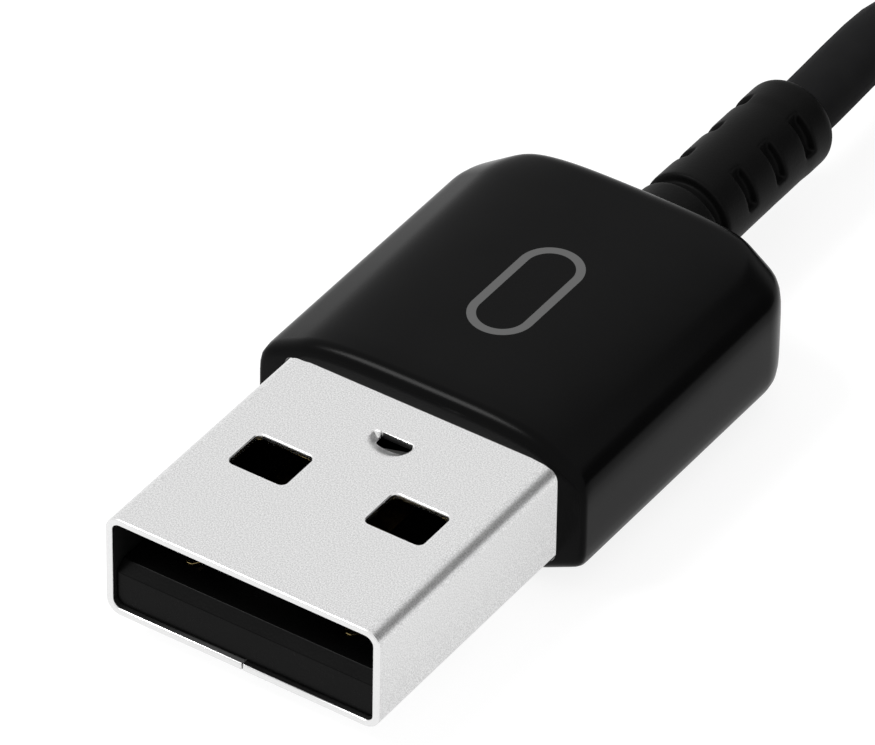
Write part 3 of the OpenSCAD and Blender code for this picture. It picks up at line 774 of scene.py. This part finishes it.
def ring_cutter(with_spine):
    """The room that one slot takes: a ring, less the bands and, on the side slots, the spine."""
    outer = add_node(slots, "GeometryNodeMeshCylinder", Vertices=48, Radius=cutter_r)
    slots.links.new(given["Slot width"], outer.inputs["Depth"])
    inner = add_node(slots, "GeometryNodeMeshCylinder", Vertices=48, Depth=core_len)
    slots.links.new(given["Floor"], inner.inputs["Radius"])
    band_size = add_node(slots, "ShaderNodeCombineXYZ", X=across, Z=deep)
    slots.links.new(given["Band"], band_size.inputs["Y"])
    band_at = slots.nodes.new("ShaderNodeCombineXYZ")
    slots.links.new(given["Band middle"], band_at.inputs["Y"])
    bar = add_node(slots, "GeometryNodeMeshCube", Size=band_size.outputs[0])
    band = add_node(slots, "GeometryNodeTransform", Geometry=bar.outputs["Mesh"],
                    Translation=band_at.outputs[0])
    keep = [inner.outputs["Mesh"], band.outputs["Geometry"]]
    if with_spine:
        spine_size = add_node(slots, "ShaderNodeCombineXYZ", Y=across, Z=deep)
        slots.links.new(given["Spine"], spine_size.inputs["X"])
        spine = add_node(slots, "GeometryNodeMeshCube", Size=spine_size.outputs[0])
        keep.append(spine.outputs["Mesh"])
    cut = slots.nodes.new("GeometryNodeMeshBoolean")
    cut.operation = "DIFFERENCE"
    cut.solver = "EXACT"
    slots.links.new(outer.outputs["Mesh"], cut.inputs["Mesh 1"])
    for mesh in keep:
        slots.links.new(mesh, cut.inputs["Mesh 2"])
    laid = add_node(slots, "GeometryNodeTransform", Geometry=cut.outputs["Mesh"], Rotation=quarter_turn)
    return laid.outputs["Geometry"]


start = add_node(slots, "ShaderNodeCombineXYZ", X=lead_x * MM, Z=axis_z * MM)
base = add_node(slots, "ShaderNodeMath")
base.inputs[0].default_value = (mouth + body_end) * MM
slots.links.new(given["First slot"], base.inputs[1])
slots.links.new(base.outputs[0], start.inputs["Y"])
over_top = add_node(slots, "GeometryNodeTransform", Geometry=ring_cutter(False),
                    Translation=start.outputs[0])
line = slots.nodes.new("GeometryNodeMeshLine")
pitch = slots.nodes.new("ShaderNodeCombineXYZ")
slots.links.new(given["Pitch"], pitch.inputs["Y"])
second = slots.nodes.new("ShaderNodeVectorMath")
slots.links.new(start.outputs[0], second.inputs[0])
slots.links.new(pitch.outputs[0], second.inputs[1])
slots.links.new(given["Side slots"], line.inputs["Count"])
slots.links.new(second.outputs[0], line.inputs["Start Location"])
slots.links.new(pitch.outputs[0], line.inputs["Offset"])
placed = add_node(slots, "GeometryNodeInstanceOnPoints", Points=line.outputs["Mesh"],
                  Instance=ring_cutter(True))
solid = add_node(slots, "GeometryNodeRealizeInstances", Geometry=placed.outputs["Instances"])
carve = slots.nodes.new("GeometryNodeMeshBoolean")
carve.operation = "DIFFERENCE"
carve.solver = "EXACT"
slots.links.new(given["Geometry"], carve.inputs["Mesh 1"])
slots.links.new(over_top.outputs["Geometry"], carve.inputs["Mesh 2"])
slots.links.new(solid.outputs["Geometry"], carve.inputs["Mesh 2"])
real = add_node(slots, "GeometryNodeRealizeInstances", Geometry=carve.outputs["Mesh"])
coat = add_node(slots, "GeometryNodeSetMaterial", Geometry=real.outputs["Geometry"])
coat.inputs["Material"].default_value = rubber
slots.links.new(coat.outputs["Geometry"], slots.nodes.new("NodeGroupOutput").inputs["Geometry"])
cutting = sleeve.modifiers.new("slots", "NODES")
cutting.node_group = slots
for item in slots.interface.items_tree:
    if item.item_type == "SOCKET" and item.in_out == "INPUT":
        if item.name in sizes:
            cutting[item.identifier] = sizes[item.name] * MM
        elif item.name == "Side slots":
            cutting[item.identifier] = side_slots
bake(sleeve)
moulded = sleeve.modifiers.new("moulded", "REMESH")
moulded.mode = "VOXEL"
moulded.voxel_size = 0.045 * MM
moulded.use_smooth_shade = True
eased = sleeve.modifiers.new("eased", "SMOOTH")
eased.factor = 0.5
eased.iterations = 30
bake(sleeve)
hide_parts("strain_relief")

# ---- stage ----
# A white table and even light from all round, with a soft lamp overhead and a dark card
# behind the right-hand side, which only the shiny surfaces show.


def in_sight(nodes, links):
    """1 for what the camera sees itself or in a mirror or through glass, 0 for plain light."""
    path = nodes.new("ShaderNodeLightPath")
    direct = nodes.new("ShaderNodeMath")
    direct.operation = "MAXIMUM"
    links.new(path.outputs["Is Camera Ray"], direct.inputs[0])
    links.new(path.outputs["Is Glossy Ray"], direct.inputs[1])
    shown = nodes.new("ShaderNodeMath")
    shown.operation = "MAXIMUM"
    links.new(direct.outputs[0], shown.inputs[0])
    links.new(path.outputs["Is Transmission Ray"], shown.inputs[1])
    return shown.outputs[0]


world = bpy.data.worlds.new("studio")
bpy.context.scene.world = world
world.use_nodes = True
world_nodes, world_links = world.node_tree.nodes, world.node_tree.links
seen = world_nodes["Background"]
seen.inputs["Color"].default_value = (1, 1, 1, 1)
seen.inputs["Strength"].default_value = 1
light = world_nodes.new("ShaderNodeBackground")
light.inputs["Color"].default_value = (1, 1, 1, 1)
light.inputs["Strength"].default_value = 0.7
choose = world_nodes.new("ShaderNodeMixShader")
world_links.new(in_sight(world_nodes, world_links), choose.inputs["Fac"])
world_links.new(light.outputs[0], choose.inputs[1])
world_links.new(seen.outputs[0], choose.inputs[2])
world_links.new(choose.outputs[0], world_nodes["World Output"].inputs["Surface"])

table = bpy.data.materials.new("white_table")
table.use_nodes = True
table_nodes, table_links = table.node_tree.nodes, table.node_tree.links
table_shader = table_nodes["Principled BSDF"]
table_shader.inputs["Base Color"].default_value = (0.25, 0.25, 0.25, 1)
table_shader.inputs["Roughness"].default_value = 0.9
table_shader.inputs["Specular IOR Level"].default_value = 0
table_shader.inputs["Emission Color"].default_value = (1, 1, 1, 1)
glow = table_nodes.new("ShaderNodeMath")
glow.operation = "MULTIPLY"
glow.inputs[1].default_value = 0.84
table_links.new(in_sight(table_nodes, table_links), glow.inputs[0])
table_links.new(glow.outputs[0], table_shader.inputs["Emission Strength"])
shape = bmesh.new()
bmesh.ops.create_circle(shape, cap_ends=True, segments=96, radius=3)
data = as_mesh(shape, "table")
floor = bpy.data.objects.new("table", data)
bpy.context.scene.collection.objects.link(floor)
data.materials.append(table)
floor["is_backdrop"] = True

card = bpy.data.materials.new("black_card")
card.use_nodes = True
card_shader = card.node_tree.nodes["Principled BSDF"]
card_shader.inputs["Base Color"].default_value = (0.0, 0.0, 0.0, 1)
card_shader.inputs["Specular IOR Level"].default_value = 0
card_shader.inputs["Emission Color"].default_value = (1, 1, 1, 1)
card_shader.inputs["Emission Strength"].default_value = 0.16
card_away, card_half_w, card_half_h = 0.30, 0.15, 0.125
card_way = Vector((0.637, 0.653, 0.409)).normalized()
card_up = Vector((-0.540, 0, 0.842))
card_side = card_up.cross(card_way).normalized()
card_middle = card_away * card_way
shape = bmesh.new()
corners = [shape.verts.new(card_middle + card_half_w * a * card_side + card_half_h * b * card_up)
           for a, b in ((-1, -1), (1, -1), (1, 1), (-1, 1))]
shape.faces.new(corners)
data = as_mesh(shape, "dark_card")
dark_card = bpy.data.objects.new("dark_card", data)
bpy.context.scene.collection.objects.link(dark_card)
data.materials.append(card)
dark_card.visible_camera = False
dark_card.visible_diffuse = False
dark_card.visible_shadow = False
dark_card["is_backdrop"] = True

lamp_data = bpy.data.lights.new("overhead", "AREA")
lamp_data.shape = "SQUARE"
lamp_data.size = 0.16
lamp_data.energy = 1.3
lamp_at = Vector((-0.204, -0.183, 0.382))
lamp = bpy.data.objects.new("overhead", lamp_data)
lamp.matrix_world = Matrix.Translation(lamp_at) @ lamp_at.to_track_quat("Z", "Y").to_matrix().to_4x4()
bpy.context.scene.collection.objects.link(lamp)
bpy.context.scene.view_settings.view_transform = "Standard"

low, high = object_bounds()
